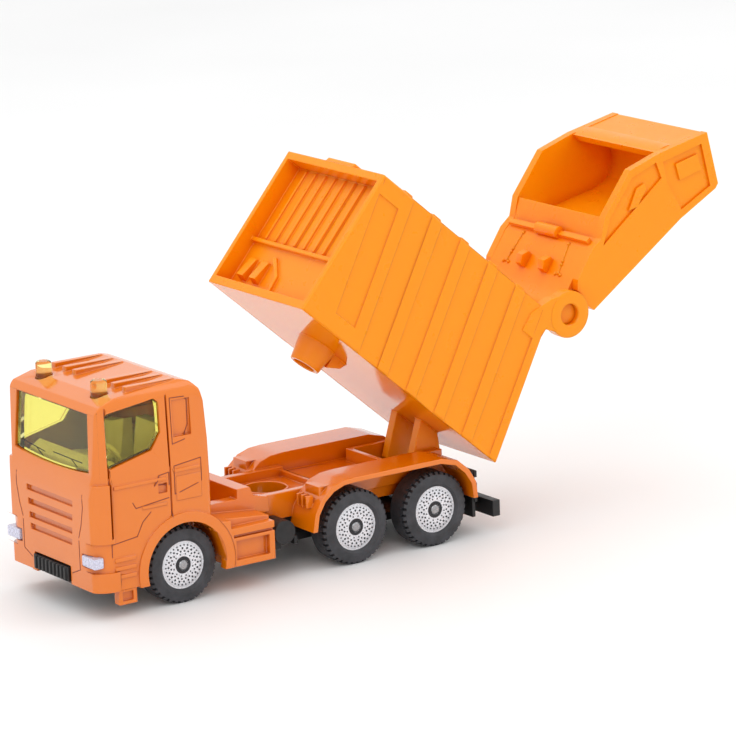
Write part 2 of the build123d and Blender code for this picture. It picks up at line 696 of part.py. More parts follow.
with BuildPart() as container:
    add(slab(outer_side, box_plane, -box_half, box_half))
    side_edges = container.edges().filter_by(lambda e: e.length > 10).group_by(Axis.Y)
    fillet(side_edges[0] + side_edges[-1], radius=0.35)
    add(slab(inner_side, box_plane, -box_half + box_wall, box_half - box_wall), mode=Mode.SUBTRACT)
    add(slab(recess_side, box_plane, -box_half + 1.0, box_half - 1.0), mode=Mode.SUBTRACT)
    # leaning panels on both sides, the foremost one stops short of top and bottom
    for index in range(panel_count):
        margin = -1.0
        if index == panel_count - 1:
            margin = 2.6
        panel = side_panel(index, margin)
        add(both_sides(panel, box_plane, box_half - panel_depth, box_half + 1), mode=Mode.SUBTRACT)
    # cross ribs over the roof in line with the side ribs
    rib_low = box_top - 0.3
    rib_high = box_top + 0.3
    for index in range(panel_count):
        rib_s = corner_s + 1.7 + panel_width + index * panel_pitch
        rib_end = rib_s + panel_pitch - panel_width
        rib = ((rib_s, rib_low), (rib_end, rib_low), (rib_end - 0.3, rib_high), (rib_s + 0.3, rib_high))
        if rib_end < box_front:
            add(slab(rib, box_plane, -box_half + 0.4, box_half - 0.4))
    bump = (
        (box_front - 2.2, rib_low),
        (box_front - 0.1, rib_low),
        (box_front - 0.4, box_top + 0.7),
        (box_front - 2.0, box_top + 0.7),
    )
    add(slab(bump, box_plane, -3.9, 2.9))
    # front wall: upright slats, rail, two pegs and a kinked pipe in the recess
    back_s = box_front - front_recess
    root = back_s - 0.3
    rail_t = box_floor + 8.5
    slat_low = rail_t + 0.9
    slat_face = back_s + 0.4
    slat_box = ((root, slat_low), (slat_face, slat_low), (slat_face, box_top - 1.6), (root, box_top - 1.0))
    for slat in range(8):
        slat_y = -8.9 + slat * 2.45
        add(slab(slat_box, box_plane, -slat_y - 0.2, -slat_y + 0.2))
    rail = ((root, rail_t), (back_s + 0.8, rail_t + 0.1), (back_s + 0.8, rail_t + 0.7), (root, rail_t + 0.9))
    add(slab(rail, box_plane, -box_half + 0.8, box_half - 0.8))
    peg_t = box_floor + 2.4
    peg = ((root, peg_t), (back_s + 1.3, peg_t + 0.4), (back_s + 0.6, peg_t + 3.6), (root, peg_t + 3.8))
    for peg_y in (-8.4, -5.2):
        add(slab(peg, box_plane, -peg_y - 0.8, -peg_y + 0.8))
    front_origin = box_plane.from_local_coords((back_s - 0.2, 0, 0))
    with BuildSketch(Plane(origin=front_origin, x_dir=(0, 1, 0), z_dir=box_plane.x_dir)):
        with BuildLine():
            Polyline(
                (-4.2, box_floor + 7.1),
                (-3.6, box_floor + 7.1),
                (-0.9, box_floor + 4.4),
                (-0.6, box_floor + 1.2),
                (-1.2, box_floor + 1.2),
                (-1.5, box_floor + 4.2),
                (-4.2, box_floor + 6.6),
                close=True,
            )
        make_face()
    extrude(amount=0.7)
    # hinge ears at the top of the rear edge
    ear_points = (
        (corner_s + 2.8, box_top - 4.7),
        (corner_s + 3.0, box_top - 1.8),
        (corner_s + 1.2, box_top + 1.6),
        (hinge_s + 1.6, hinge_t + 3.0),
        (hinge_s + 0.2, hinge_t - 3.3),
        (corner_s - 0.7, box_top - 2.4),
        (corner_s - 0.6, box_top - 4.7),
    )
    ear_in = box_half - box_wall - 0.65
    add(both_sides(ear_points, box_plane, ear_in, box_half))
    add(both_rods(box_plane, hinge_s, hinge_t, ear_radius, ear_inner, box_half))
    ear_bore = hinge_pin_dia / 2 + run_gap
    add(both_rods(box_plane, hinge_s, hinge_t, ear_bore, ear_inner - 1, box_half + 1), mode=Mode.SUBTRACT)
    # legs with pivot pins under the floor
    add(both_sides(leg_points, box_plane, leg_half - leg_thick, leg_half))
    add(both_rods(box_plane, 0, 0, pivot_pin_dia / 2, leg_half - 0.3, pin_end))
    # hollow ram stub under the front
    with BuildSketch(ram_plane(box_floor + 0.3)):
        Circle(ram_root_dia / 2)
    with BuildSketch(ram_plane(box_floor - ram_length)):
        Circle(ram_tip_dia / 2)
    loft()
    gusset = (
        (ram_from_pivot - 5.4, box_floor + 0.3),
        (ram_from_pivot - 4.6, box_floor - ram_length * 0.3),
        (ram_from_pivot - 2.5, box_floor - ram_length * 0.6),
        (ram_from_pivot - 2.4, box_floor + 0.3),
    )
    add(slab(gusset, box_plane, -1.6, 1.6))
    with BuildSketch(ram_plane(box_floor - ram_length - 1)):
        Circle(ram_bore / 2)
    extrude(amount=ram_length + 1 - 0.2, mode=Mode.SUBTRACT)
container.part.label = "container"
export_step(container.part, "parts/container.step")

# ---- hopper ----------------------------------------------------------------------------------------
cheek_in = ear_inner - 0.15
barrel_radius = 1.8
cheek_outline = (
    (4.1, -gate_seat), (24.1, -gate_seat), (31.7, -gate_seat - 0.8), (32.5, -gate_seat - 0.5), (35.4, 4.0),
    (27.1, 7.4), (21.3, 9.1), (13.7, 6.6), (11.4, 4.5), (9.2, 4.3), (4.6, 2.5), (2.8, 0.4),
)
hook_panel = (
    (-0.6, 1.7), (2.6, 1.6), (4.4, 2.4), (9.1, 4.2), (11.3, 4.4), (13.8, 6.4), (13.8, 5.2), (11.8, 3.3),
    (9.3, 3.1), (4.9, 1.3), (3.2, -1.2), (0.6, -1.7),
)
end_panel = (
    (27.0, 7.3), (35.3, 3.95), (32.4, -3.7), (31.7, -4.0), (26.4, -3.3), (26.4, -2.4), (31.0, -2.9),
    (33.9, 3.3), (27.0, 6.1),
)
packer_floor = ((16.2, 1.6), (24.8, -2.0), (27.4, -2.6), (27.4, -3.6), (24.1, -3.1), (15.8, 0.8))
with BuildPart() as tailgate:
    add(both_sides(cheek_outline, gate_plane, cheek_in - 0.3, gate_half))
    add(both_rods(gate_plane, 0, 0, ear_radius + side_gap, cheek_in - 1, gate_half + 1), mode=Mode.SUBTRACT)
    inner_half = cheek_in - 0.3
    add(slab(hook_panel, gate_plane, -inner_half, inner_half))
    add(slab(end_panel, gate_plane, -inner_half, inner_half))
    add(slab(packer_floor, gate_plane, -inner_half, inner_half))
    # curved trough between the end panel and the floor
    with BuildSketch(gate_plane.offset(-inner_half)):
        with BuildLine():
            ThreePointArc((27.0, 6.3), (31.2, 1.4), (27.0, -2.8))
            Line((27.0, -2.8), (27.0, -3.6))
            ThreePointArc((27.0, -3.6), (32.2, 1.4), (27.0, 7.2))
            Line((27.0, 7.2), (27.0, 6.3))
        make_face()
    extrude(amount=2 * inner_half)
    # hinge barrel with its pins
    add(rod(gate_plane, 0, 0, barrel_radius, -inner_half - 0.1, inner_half + 0.1))
    add(rod(gate_plane, 0, 0, hinge_pin_dia / 2, -box_half + 0.8, box_half - 0.8))
    # bar, cylinder and two hooks on the upper panel
    bar_points = ((9.9, 4.2), (10.7, 4.2), (10.7, 5.0), (9.9, 5.0))
    add(slab(bar_points, gate_plane, -inner_half + 0.4, inner_half - 0.4))
    add(rod(gate_plane, 10.3, 4.9, 0.9, -2.6, 2.6))
    for hook_y in (-2.2, 3.2):
        hook_points = ((4.4, 2.0), (6.6, 2.6), (6.4, 3.9), (5.2, 4.3), (4.2, 3.4))
        add(slab(hook_points, gate_plane, hook_y - 0.7, hook_y + 0.7))
    # side relief: the plate below, the boxed field with louvres behind
    rear_field = ((26.6, 6.0), (33.6, 3.3), (31.2, -3.0), (25.0, -2.2), (25.4, 3.0))
    add(both_sides(rear_field, gate_plane, gate_half - 0.35, gate_half + 1), mode=Mode.SUBTRACT)
    upper_field = ((14.4, 5.9), (20.9, 8.0), (25.6, 6.8), (25.0, 4.2), (11.0, 3.4))
    add(both_sides(upper_field, gate_plane, gate_half - 0.35, gate_half + 1), mode=Mode.SUBTRACT)
    louvre = ((27.4, 1.6), (31.3, 0.2), (32.1, 2.6), (28.2, 4.1))
    add(both_sides(louvre, gate_plane, gate_half - 0.5, gate_half))
    link = ((17.6, 4.4), (19.2, 3.8), (21.9, 4.9), (22.1, 5.8), (20.6, 6.1))
    add(both_sides(link, gate_plane, gate_half - 0.5, gate_half))
tailgate.part.label = "tailgate"
export_step(tailgate.part, "parts/tailgate.step")
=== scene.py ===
# %% [markdown]
# A die-cast refuse truck, dressed for its portrait
#
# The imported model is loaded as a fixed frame: every casting, moulding and pin already sits where it belongs.
# This lesson gives each one a soft edge, a finish and the small details a toy maker tools into the mould.
# Lengths are written in millimetres and scaled to metres once, when a piece is finished.

# %% load the frame and note its box
import json
import math

import bmesh
import bpy
from mathutils import Matrix, Vector
from mathutils.bvhtree import BVHTree


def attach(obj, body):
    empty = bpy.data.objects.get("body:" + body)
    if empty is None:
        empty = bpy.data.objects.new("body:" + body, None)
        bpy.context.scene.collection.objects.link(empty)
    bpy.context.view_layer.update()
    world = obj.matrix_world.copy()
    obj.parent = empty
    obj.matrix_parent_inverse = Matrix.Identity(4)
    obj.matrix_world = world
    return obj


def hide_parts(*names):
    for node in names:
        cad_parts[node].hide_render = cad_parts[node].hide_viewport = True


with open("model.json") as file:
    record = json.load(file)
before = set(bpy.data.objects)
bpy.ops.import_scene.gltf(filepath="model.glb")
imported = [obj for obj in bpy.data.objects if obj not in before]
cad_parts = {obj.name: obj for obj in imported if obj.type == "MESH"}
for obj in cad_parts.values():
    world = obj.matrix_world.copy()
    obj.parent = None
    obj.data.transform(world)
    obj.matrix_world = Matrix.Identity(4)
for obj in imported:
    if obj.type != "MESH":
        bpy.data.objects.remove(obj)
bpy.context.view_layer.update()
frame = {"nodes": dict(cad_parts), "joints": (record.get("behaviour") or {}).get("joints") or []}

# %% [markdown]
# Three places to work in
#
# The truck stands on its wheels, but the container is tipped and the hopper is swung open.
# It is much easier to model a rib on a level container, so each body gets its own work frame:
# x runs along the container's floor or the hopper's panel, y to the left side, z away from it.
# A matrix carries the finished shape to its place, so no object is ever turned.

# %% work frames in millimetres
MM = 0.001
joints = {joint["name"]: joint for joint in frame["joints"]}
TIP_ANGLE = 40.7
HOPPER_ANGLE = 145.5


def work_frame(origin, angle):
    """A matrix from local millimetres to the row frame: local x leans up by angle, local z across it."""
    turn = Matrix.Rotation(math.radians(-angle), 4, "Y")
    return Matrix.Translation(origin) @ turn @ Matrix.Scale(MM, 4)


TRUCK = Matrix.Scale(MM, 4)
CONTAINER = work_frame(Vector(joints["container_tip"]["pos_m"]), TIP_ANGLE)
HOPPER = work_frame(Vector(joints["hopper_lift"]["pos_m"]), HOPPER_ANGLE) @ Matrix.Diagonal((1, 1, -1, 1))
print("container pivot", joints["container_tip"]["pos_m"], "hopper hinge", joints["hopper_lift"]["pos_m"])

# %% [markdown]
# Finishing a piece
#
# Every new piece ends the same way: doubles merged, normals turned outwards, placed by its work frame,
# smooth shading with crisp folds kept, a material, and the body it rides on.
# Weighted normals keep the big flat panels flat in the light while their rounded edges roll over.

# %% finish a bmesh as a piece
def finish_piece(shape, name, material, body, place=TRUCK, fold=40.0, tidy=True):
    """Turns a bmesh into an object at the origin, with its place in its mesh, riding on a body."""
    bmesh.ops.transform(shape, matrix=place, verts=shape.verts)
    if tidy:
        bmesh.ops.remove_doubles(shape, verts=shape.verts, dist=0.0005 * MM)
        bmesh.ops.recalc_face_normals(shape, faces=shape.faces)
    mesh = bpy.data.meshes.new(name)
    shape.to_mesh(mesh)
    shape.free()
    mesh.polygons.foreach_set("use_smooth", [True] * len(mesh.polygons))
    mesh.set_sharp_from_angle(angle=math.radians(fold))
    mesh.materials.append(material)
    piece = bpy.data.objects.new(name, mesh)
    bpy.context.scene.collection.objects.link(piece)
    weighted = piece.modifiers.new("weighted", "WEIGHTED_NORMAL")
    weighted.keep_sharp = True
    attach(piece, body)
    mesh.calc_loop_triangles()
    print(name, "triangles", len(mesh.loop_triangles))
    return piece


# %% [markdown]
# Shapes a mould maker reaches for
#
# The details added here are blocks, rods, turned rings and fine wires,
# each with its edges broken so that the casting leaves the die. A block could be a bare cube,
# but a sharp cube gives itself away in any light, so the bevel is part of the helper.

# %% block, rod, turned ring and wire
def new_verts(shape, before):
    """The vertices made since before was noted."""
    return [vert for vert in shape.verts if vert not in before]


def break_edges(shape, before, width, segments=2, angle=25.0):
    """Rounds the folds of what was made since before was noted."""
    fresh = set(new_verts(shape, before))
    folds = []
    for edge in shape.edges:
        if edge.verts[0] in fresh and len(edge.link_faces) == 2:
            if abs(edge.calc_face_angle(0.0)) > math.radians(angle):
                folds.append(edge)
    bmesh.ops.bevel(shape, geom=folds, offset=width, offset_type="OFFSET", segments=segments,
                    profile=0.5, affect="EDGES", clamp_overlap=True, material=-1)


def block(shape, low, high, edge=0.12):
    """A block between two corners."""
    before = set(shape.verts)
    low, high = Vector(low), Vector(high)
    made = bmesh.ops.create_cube(shape, size=1.0)["verts"]
    bmesh.ops.scale(shape, vec=high - low, verts=made)
    bmesh.ops.translate(shape, vec=(low + high) / 2, verts=made)
    break_edges(shape, before, edge)


def rod(shape, start, end, radius, edge=0.1, tip=None, sides=32):
    """A round bar from start to end, with a second radius at its end if it tapers."""
    before = set(shape.verts)
    start, end = Vector(start), Vector(end)
    along = end - start
    made = bmesh.ops.create_cone(shape, cap_ends=True, segments=sides, radius1=radius,
                                 radius2=tip or radius, depth=along.length)["verts"]
    turn = along.to_track_quat("Z", "Y").to_matrix()
    bmesh.ops.rotate(shape, matrix=turn, verts=made)
    bmesh.ops.translate(shape, vec=(start + end) / 2, verts=made)
    if edge:
        break_edges(shape, before, edge, angle=50.0)


def turned(shape, profile, centre, axis=(0, 1, 0), steps=72):
    """A ring: the profile's (along, radius) points spun once about the axis through centre."""
    axis = Vector(axis)
    side = Vector((0, 0, 1)) if abs(axis.z) < 0.5 else Vector((1, 0, 0))
    rim = [shape.verts.new(Vector(centre) + axis * along + side * radius) for along, radius in profile]
    edges = [shape.edges.new((rim[i], rim[i + 1])) for i in range(len(rim) - 1)]
    bmesh.ops.spin(shape, geom=rim + edges, cent=centre, axis=axis, dvec=(0, 0, 0),
                   angle=math.tau, steps=steps, use_merge=True)


def wire(shape, points, radius, sides=10):
    """A thin round strip through the points, rod by rod, with a ball at each bend."""
    for start, end in zip(points, points[1:]):
        rod(shape, start, end, radius, edge=0, sides=sides)
    for point in points[1:-1]:
        made = bmesh.ops.create_uvsphere(shape, u_segments=sides, v_segments=6, radius=radius)["verts"]
        bmesh.ops.translate(shape, vec=point, verts=made)


# %% [markdown]
# Softening a casting
#
# The frame's own meshes are exact but sharp, and they are never changed. A copy is merged into one skin,
# its flat triangles are dissolved into whole panels and cut again into better ones, so that no sliver lies
# beside a fold, and then every fold gets a narrow two-step bevel.
# A subdivision surface would melt the grille and the steps, so a bevel is the honest way to blunt a casting.
# The hopper's side relief has walls so thin that its bevel is clamped, or the folds would cross.

# %% a blunted copy of a frame node
def blunted(node, name, material, body, width, fold=28.0, segments=2, clamp=False):
    """A copy of a frame node with its folds rounded, standing in for that node."""
    shape = bmesh.new()
    shape.from_mesh(frame["nodes"][node].data)
    bmesh.ops.remove_doubles(shape, verts=shape.verts, dist=0.003 * MM)
    bmesh.ops.dissolve_degenerate(shape, dist=0.002 * MM, edges=shape.edges)
    bmesh.ops.dissolve_limit(shape, angle_limit=math.radians(1.0), verts=shape.verts, edges=shape.edges)
    bmesh.ops.triangulate(shape, faces=shape.faces, quad_method="BEAUTY", ngon_method="BEAUTY")
    folds = [edge for edge in shape.edges if len(edge.link_faces) == 2
             and abs(edge.calc_face_angle(0.0)) > math.radians(fold)]
    bmesh.ops.bevel(shape, geom=folds, offset=width * MM, offset_type="OFFSET", segments=segments,
                    profile=0.5, affect="EDGES", clamp_overlap=clamp, material=-1)
    piece = finish_piece(shape, name, material, body, place=Matrix.Identity(4), tidy=False)
    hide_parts(node)
    return piece


# %% [markdown]
# Wiring a finish
#
# A finish is a small tree of nodes around one Principled shader. Patterns read Object coordinates,
# so they stay glued to the metal when the truck moves. Colours that never vary sit on the shader's own
# sockets; only what really varies, such as roughness or a tone, is wired in.

# %% finish helpers
def new_finish(name):
    """A material with its node tree, its shader, and an Object coordinate output."""
    material = bpy.data.materials.new(name)
    material.use_nodes = True
    tree = material.node_tree
    shader = tree.nodes["Principled BSDF"]
    coords = tree.nodes.new("ShaderNodeTexCoord").outputs["Object"]
    return material, tree, shader, coords


def cloud(tree, coords, grain_mm, detail=2.0, rough=0.5, stretch=None):
    """Noise whose blotches are about grain_mm wide."""
    if stretch:
        mapping = tree.nodes.new("ShaderNodeMapping")
        mapping.inputs["Scale"].default_value = stretch
        tree.links.new(coords, mapping.inputs["Vector"])
        coords = mapping.outputs["Vector"]
    noise = tree.nodes.new("ShaderNodeTexNoise")
    noise.inputs["Scale"].default_value = 1.0 / (grain_mm * MM)
    noise.inputs["Detail"].default_value = detail
    noise.inputs["Roughness"].default_value = rough
    tree.links.new(coords, noise.inputs["Vector"])
    return noise.outputs["Fac"]


def ramp(tree, source, stops):
    """A colour or grey ramp: stops are (place, colour) with colour as one number or three."""
    node = tree.nodes.new("ShaderNodeValToRGB")
    elements = node.color_ramp.elements
    while len(elements) < len(stops):
        elements.new(0.5)
    for element, (place, colour) in zip(elements, stops):
        element.position = place
        if isinstance(colour, (int, float)):
            colour = (colour, colour, colour)
        element.color = (*colour, 1.0)
    tree.links.new(source, node.inputs["Fac"])
    return node.outputs["Color"]


def tint(tree, factor, first, second):
    """Mixes two colours by a factor; each colour is a socket or three numbers."""
    node = tree.nodes.new("ShaderNodeMix")
    node.data_type = "RGBA"
    tree.links.new(factor, node.inputs["Factor"])
    for value, socket in ((first, node.inputs["A"]), (second, node.inputs["B"])):
        if isinstance(value, tuple):
            socket.default_value = (*value, 1.0)
        else:
            tree.links.new(value, socket)
    return node.outputs["Result"]


def bumps(tree, shader, height, depth_mm, strength=1.0):
    """Relief on the shader's normal, depth_mm from valley to crest."""
    node = tree.nodes.new("ShaderNodeBump")
    node.inputs["Distance"].default_value = depth_mm * MM
    node.inputs["Strength"].default_value = strength
    tree.links.new(height, node.inputs["Height"])
    tree.links.new(node.outputs["Normal"], shader.inputs["Normal"])


def crevice(tree, reach_mm):
    """How open a spot is: 1 on a free panel, towards 0 down in a groove."""
    node = tree.nodes.new("ShaderNodeAmbientOcclusion")
    node.samples = 6
    node.inputs["Distance"].default_value = reach_mm * MM
    return node.outputs["AO"]


def glow(colour_hex):
    """A display colour such as EE8A1A as linear light."""
    channels = [int(colour_hex[i:i + 2], 16) / 255 for i in (0, 2, 4)]
    return tuple(c / 12.92 if c <= 0.04045 else ((c + 0.055) / 1.055) ** 2.4 for c in channels)


# %% [markdown]
# Orange enamel
#
# The cab and frame are zinc under one thick coat of orange enamel. An occlusion mask paints the grooves a
# redder, deeper orange and the open crests a lighter orange: partly the enamel pooling in grooves and thinning
# on crests, partly painted shade in the grooves and painted light on the crests. A clear coat over the colour
# gives the hard highlights, and a faint orange peel keeps them from looking like glass.

# %% finish: orange enamel
def orange_enamel():
    material, tree, shader, coords = new_finish("orange_enamel")
    # painted shade and light: the occlusion mask turns grooves a deep red-orange (A83800) and open crests a
    # lighter orange
    pooled_and_painted_shade = ramp(tree, crevice(tree, 1.6), ((0.2, glow("A83800")), (0.85, glow("DE7200"))))
    blotch = ramp(tree, cloud(tree, coords, 9.0), ((0.35, 0.0), (0.7, 0.22)))
    colour = tint(tree, blotch, pooled_and_painted_shade, glow("E67E04"))
    tree.links.new(colour, shader.inputs["Base Color"])
    gloss = ramp(tree, cloud(tree, coords, 1.2, 3.0), ((0.3, 0.13), (0.7, 0.21)))
    tree.links.new(gloss, shader.inputs["Roughness"])
    shader.inputs["IOR"].default_value = 1.5
    shader.inputs["Coat Weight"].default_value = 0.5
    shader.inputs["Coat Roughness"].default_value = 0.06
    bumps(tree, shader, cloud(tree, coords, 0.9, 2.0), 0.012)
    return material


ENAMEL = orange_enamel()

# %% [markdown]
# Amber plastic
#
# Container and hopper are moulded in a warm amber plastic that lets a little light in, so thick corners
# glow and shaded undersides turn red-orange instead of grey. A touch of subsurface light gives part of that.
# The rest is painted shade: an occlusion mask paints recesses a deep red-orange and open panels a brighter
# amber.
# Shade painted at fixed spots would break as soon as the container moves, so this painted shade follows the
# mask.

# %% finish: amber plastic
def amber_plastic(name, dull, bright):
    material, tree, shader, coords = new_finish(name)
    # painted shade: the occlusion mask turns recesses a deep red-orange (DC5C00) and open panels a brighter
    # amber
    painted_recess_shade = ramp(tree, crevice(tree, 2.2), ((0.2, glow("DC5C00")), (0.9, glow("F29000"))))
    flow = ramp(tree, cloud(tree, coords, 14.0, 3.0, stretch=(1.0, 1.0, 0.4)), ((0.3, 0.0), (0.75, 0.12)))
    colour = tint(tree, flow, painted_recess_shade, glow("F89C00"))
    tree.links.new(colour, shader.inputs["Base Color"])
    gloss = ramp(tree, cloud(tree, coords, 2.5, 3.0), ((0.3, bright), (0.7, dull)))
    tree.links.new(gloss, shader.inputs["Roughness"])
    shader.inputs["Specular IOR Level"].default_value = 0.3
    shader.inputs["Subsurface Weight"].default_value = 0.25
    shader.inputs["Subsurface Radius"].default_value = (1.0, 0.42, 0.08)
    shader.inputs["Subsurface Scale"].default_value = 1.6 * MM
    bumps(tree, shader, cloud(tree, coords, 0.5, 2.0), 0.008)
    return material


AMBER = amber_plastic("amber_plastic", 0.36, 0.26)
POLISHED = amber_plastic("amber_polished", 0.06, 0.03)
polished_shader = POLISHED.node_tree.nodes["Principled BSDF"]
polished_shader.inputs["IOR"].default_value = 1.75
polished_shader.inputs["Specular IOR Level"].default_value = 0.5


# %% [markdown]
# Black plastic, tyre rubber and the light inner moulding
#
# Three plain plastics differ mostly in how rough they are and in the size of their grain.
# The base is spark-eroded and dull, the tyres are soft and dusty grey, and the seats are a pale,
# slightly waxy plastic seen only through the tinted glazing.

# %% finish: plain mouldings
def plain_moulding(name, low, high, rough_low, rough_high, grain_mm, depth_mm):
    """A matt plastic: tone and roughness vary with the grain, and the grain stands up a little."""
    material, tree, shader, coords = new_finish(name)
    tone = ramp(tree, cloud(tree, coords, grain_mm * 6, 3.0), ((0.3, glow(low)), (0.75, glow(high))))
    tree.links.new(tone, shader.inputs["Base Color"])
    rough = ramp(tree, cloud(tree, coords, grain_mm * 2, 2.0), ((0.3, rough_low), (0.7, rough_high)))
    tree.links.new(rough, shader.inputs["Roughness"])
    bumps(tree, shader, cloud(tree, coords, grain_mm, 3.0, 0.6), depth_mm)
    return material


BLACK = plain_moulding("black_moulding", "0E0E0F", "1D1D1F", 0.38, 0.52, 0.35, 0.015)
RUBBER = plain_moulding("tyre_rubber", "2A2A2D", "3D3D42", 0.5, 0.68, 0.3, 0.02)
CREAM = plain_moulding("cream_moulding", "ECE6C0", "F6F2D6", 0.4, 0.55, 0.5, 0.01)

# %% [markdown]
# Tinted glazing
#
# One yellow clear moulding makes the windows and the beacons. Real transmission lets the seats show
# through; the tint deepens by itself where light crosses more plastic, as in the solid beacons.

# %% finish: yellow clear
def yellow_clear(name, tone, transmission):
    material, tree, shader, coords = new_finish(name)
    shader.inputs["Base Color"].default_value = (*glow(tone), 1.0)
    shader.inputs["Transmission Weight"].default_value = transmission
    shader.inputs["IOR"].default_value = 1.3
    haze = ramp(tree, cloud(tree, coords, 3.0, 2.0), ((0.3, 0.02), (0.7, 0.06)))
    tree.links.new(haze, shader.inputs["Roughness"])
    return material


GLAZING = yellow_clear("yellow_clear", "FBF6A6", 0.98)

# %% [markdown]
# Metal and print
#
# The axle pins are drawn steel. The wheel faces carry a bright silver print with black dots, and the
# headlamps a lavender silver. Print is never mirror-smooth, so fine flakes break up its shine.

# %% finish: steel, silver print, black print, lamp silver
def flaked(name, low, high, metal, rough_low, rough_high, flake_mm):
    material, tree, shader, coords = new_finish(name)
    tone = ramp(tree, cloud(tree, coords, flake_mm, 2.0), ((0.35, glow(low)), (0.65, glow(high))))
    tree.links.new(tone, shader.inputs["Base Color"])
    shader.inputs["Metallic"].default_value = metal
    rough = ramp(tree, cloud(tree, coords, flake_mm * 3, 2.0), ((0.3, rough_low), (0.7, rough_high)))
    tree.links.new(rough, shader.inputs["Roughness"])
    bumps(tree, shader, cloud(tree, coords, flake_mm, 1.0), 0.004)
    return material


STEEL = flaked("drawn_steel", "8E8E90", "B5B5B8", 1.0, 0.22, 0.38, 0.15)
SILVER = flaked("silver_print", "C8C8CE", "F0F0F4", 0.3, 0.22, 0.38, 0.12)
INK = flaked("black_print", "101014", "26262C", 0.1, 0.3, 0.45, 0.12)
LAMP_SILVER = flaked("lamp_silver", "BDBCD0", "DCDCEC", 0.3, 0.22, 0.34, 0.15)

# %% blunt the castings and mouldings
cab = blunted("cab_frame", "cab_casting", ENAMEL, "chassis", 0.11)
box = blunted("container", "container_shell", AMBER, "container", 0.12)
hopper = blunted("tailgate", "hopper_shell", AMBER, "hopper", 0.06, clamp=True)
blunted("base_plate", "base_moulding", BLACK, "chassis", 0.07)
blunted("cab_interior", "cab_interior_moulding", CREAM, "chassis", 0.12)
frame["nodes"]["glazing"].data.materials.clear()
frame["nodes"]["glazing"].data.materials.append(GLAZING)
for node_name, node in frame["nodes"].items():
    finish = {"axle": STEEL, "rim_": SILVER, "tyre": RUBBER}.get(node_name[:4])
    if finish:
        node.data.materials.clear()
        node.data.materials.append(finish)

# %% [markdown]
# A polished floor under the container
#
# The die for the container's underside was polished, so it mirrors whatever lies below it.
# The faces that look down out of the container get the polished copy of the plastic as a second material.

# %% polish the container's underside
POLISH_FACING = 0.98
down = (CONTAINER.to_3x3() @ Vector((0, 0, -1))).normalized()
box.data.materials.append(POLISHED)
for face in box.data.polygons:
    if face.normal.dot(down) > POLISH_FACING:
        face.material_index = 1

# %% [markdown]
# Lines tooled into a surface
#
# Door gaps and panel edges are hair-thin, so they are drawn as fine wires that lie half sunk in the skin,
# coloured darker than the surface: painted shade standing in for the shadow down each gap and step.
# Each line is a few points seen from one side. Every point is dropped onto the finished skin along the
# line of sight, so the wire follows the lean of the cab and the depth of a recess without any guessing.

# %% helper: draw a line on a skin
SIGHT_BACK = 12
def skin_of(piece):
    """A search tree over a finished piece, to find its surface."""
    mesh = piece.data
    spots = [vert.co for vert in mesh.vertices]
    return BVHTree.FromPolygons(spots, [face.vertices for face in mesh.polygons])


def drawn(shape, skin, place, corners, towards, width, closed=False, step=0.9):
    """A fine wire through the corners, laid on the skin that is met when looking along towards."""
    corners = [Vector(corner) for corner in corners]
    if closed:
        corners.append(corners[0])
    way = (place.to_3x3() @ Vector(towards)).normalized()
    back = place.inverted()
    path = []
    for start, end in zip(corners, corners[1:]):
        count = max(1, round((end - start).length / step))
        path += [start.lerp(end, i / count) for i in range(count)]
    path.append(corners[-1])
    landed = []
    for point in path:
        spot = skin.ray_cast(place @ point - way * SIGHT_BACK * MM, way)[0]
        if spot:
            landed.append(back @ spot)
    wire(shape, landed, width, sides=8)


# painted shade: these dark orange-brown wires stand in for the shadow down the cab's door gaps and panel lines
SEAM_SHADE = plain_moulding("painted_seam_shade", "6E2200", "8A2E02", 0.3, 0.45, 0.3, 0.005)
# painted shade: these darker amber wires stand in for the shadow where the container's wall steps at each
# panel edge
GROOVE_SHADE = plain_moulding("painted_groove_shade", "D06A02", "DE7606", 0.35, 0.45, 0.3, 0.005)
HAIR = 0.06
cab_skin, box_skin, hopper_skin = skin_of(cab), skin_of(box), skin_of(hopper)

# %% [markdown]
# Cab door gaps, window frame and panel lines
#
# Both doors are alike, so one list of outlines is drawn from the left and from the right.

# %% lines on the cab
side_lines = (
    (((41.1, 29.6), (41.1, 9.0)), False),
    (((31.2, 30.3), (31.2, 12.9)), False),
    (((41.1, 10.8), (37.0, 11.3), (36.0, 13.2), (34.6, 14.4)), False),
    (((40.63, 28.94), (33.2, 29.9), (32.8, 29.5), (32.75, 25.4), (34.1, 23.4), (40.7, 21.8)), True),
    (((30.6, 29.8), (28.3, 29.7), (27.7, 29.1), (27.7, 25.6), (28.6, 23.7), (30.6, 23.3)), True),
    (((30.6, 20.2), (26.2, 20.7), (26.2, 17.4), (30.6, 16.2)), True),
    (((33.9, 17.9), (33.1, 19.3), (31.5, 19.5), (31.5, 17.7)), True),
    (((37.5, 16.2), (37.0, 15.3), (31.6, 15.9)), False),
)
shape = bmesh.new()
for side in (-1, 1):
    for outline, closed in side_lines:
        corners = [(x, 12.6 * side, z) for x, z in outline]
        drawn(shape, cab_skin, TRUCK, corners, (0, -side, 0), HAIR, closed)
    front = [(44.0, y * side, z) for y, z in ((8.9, 17.8), (9.0, 16.0), (8.4, 13.4), (7.6, 11.4))]
    drawn(shape, cab_skin, TRUCK, front, (-1, 0, 0), HAIR)
    front = [(44.0, y * side, z) for y, z in ((7.6, 11.0), (7.6, 6.8), (5.4, 5.9))]
    drawn(shape, cab_skin, TRUCK, front, (-1, 0, 0), HAIR)
finish_piece(shape, "cab_panel_lines", SEAM_SHADE, "chassis", tidy=False)
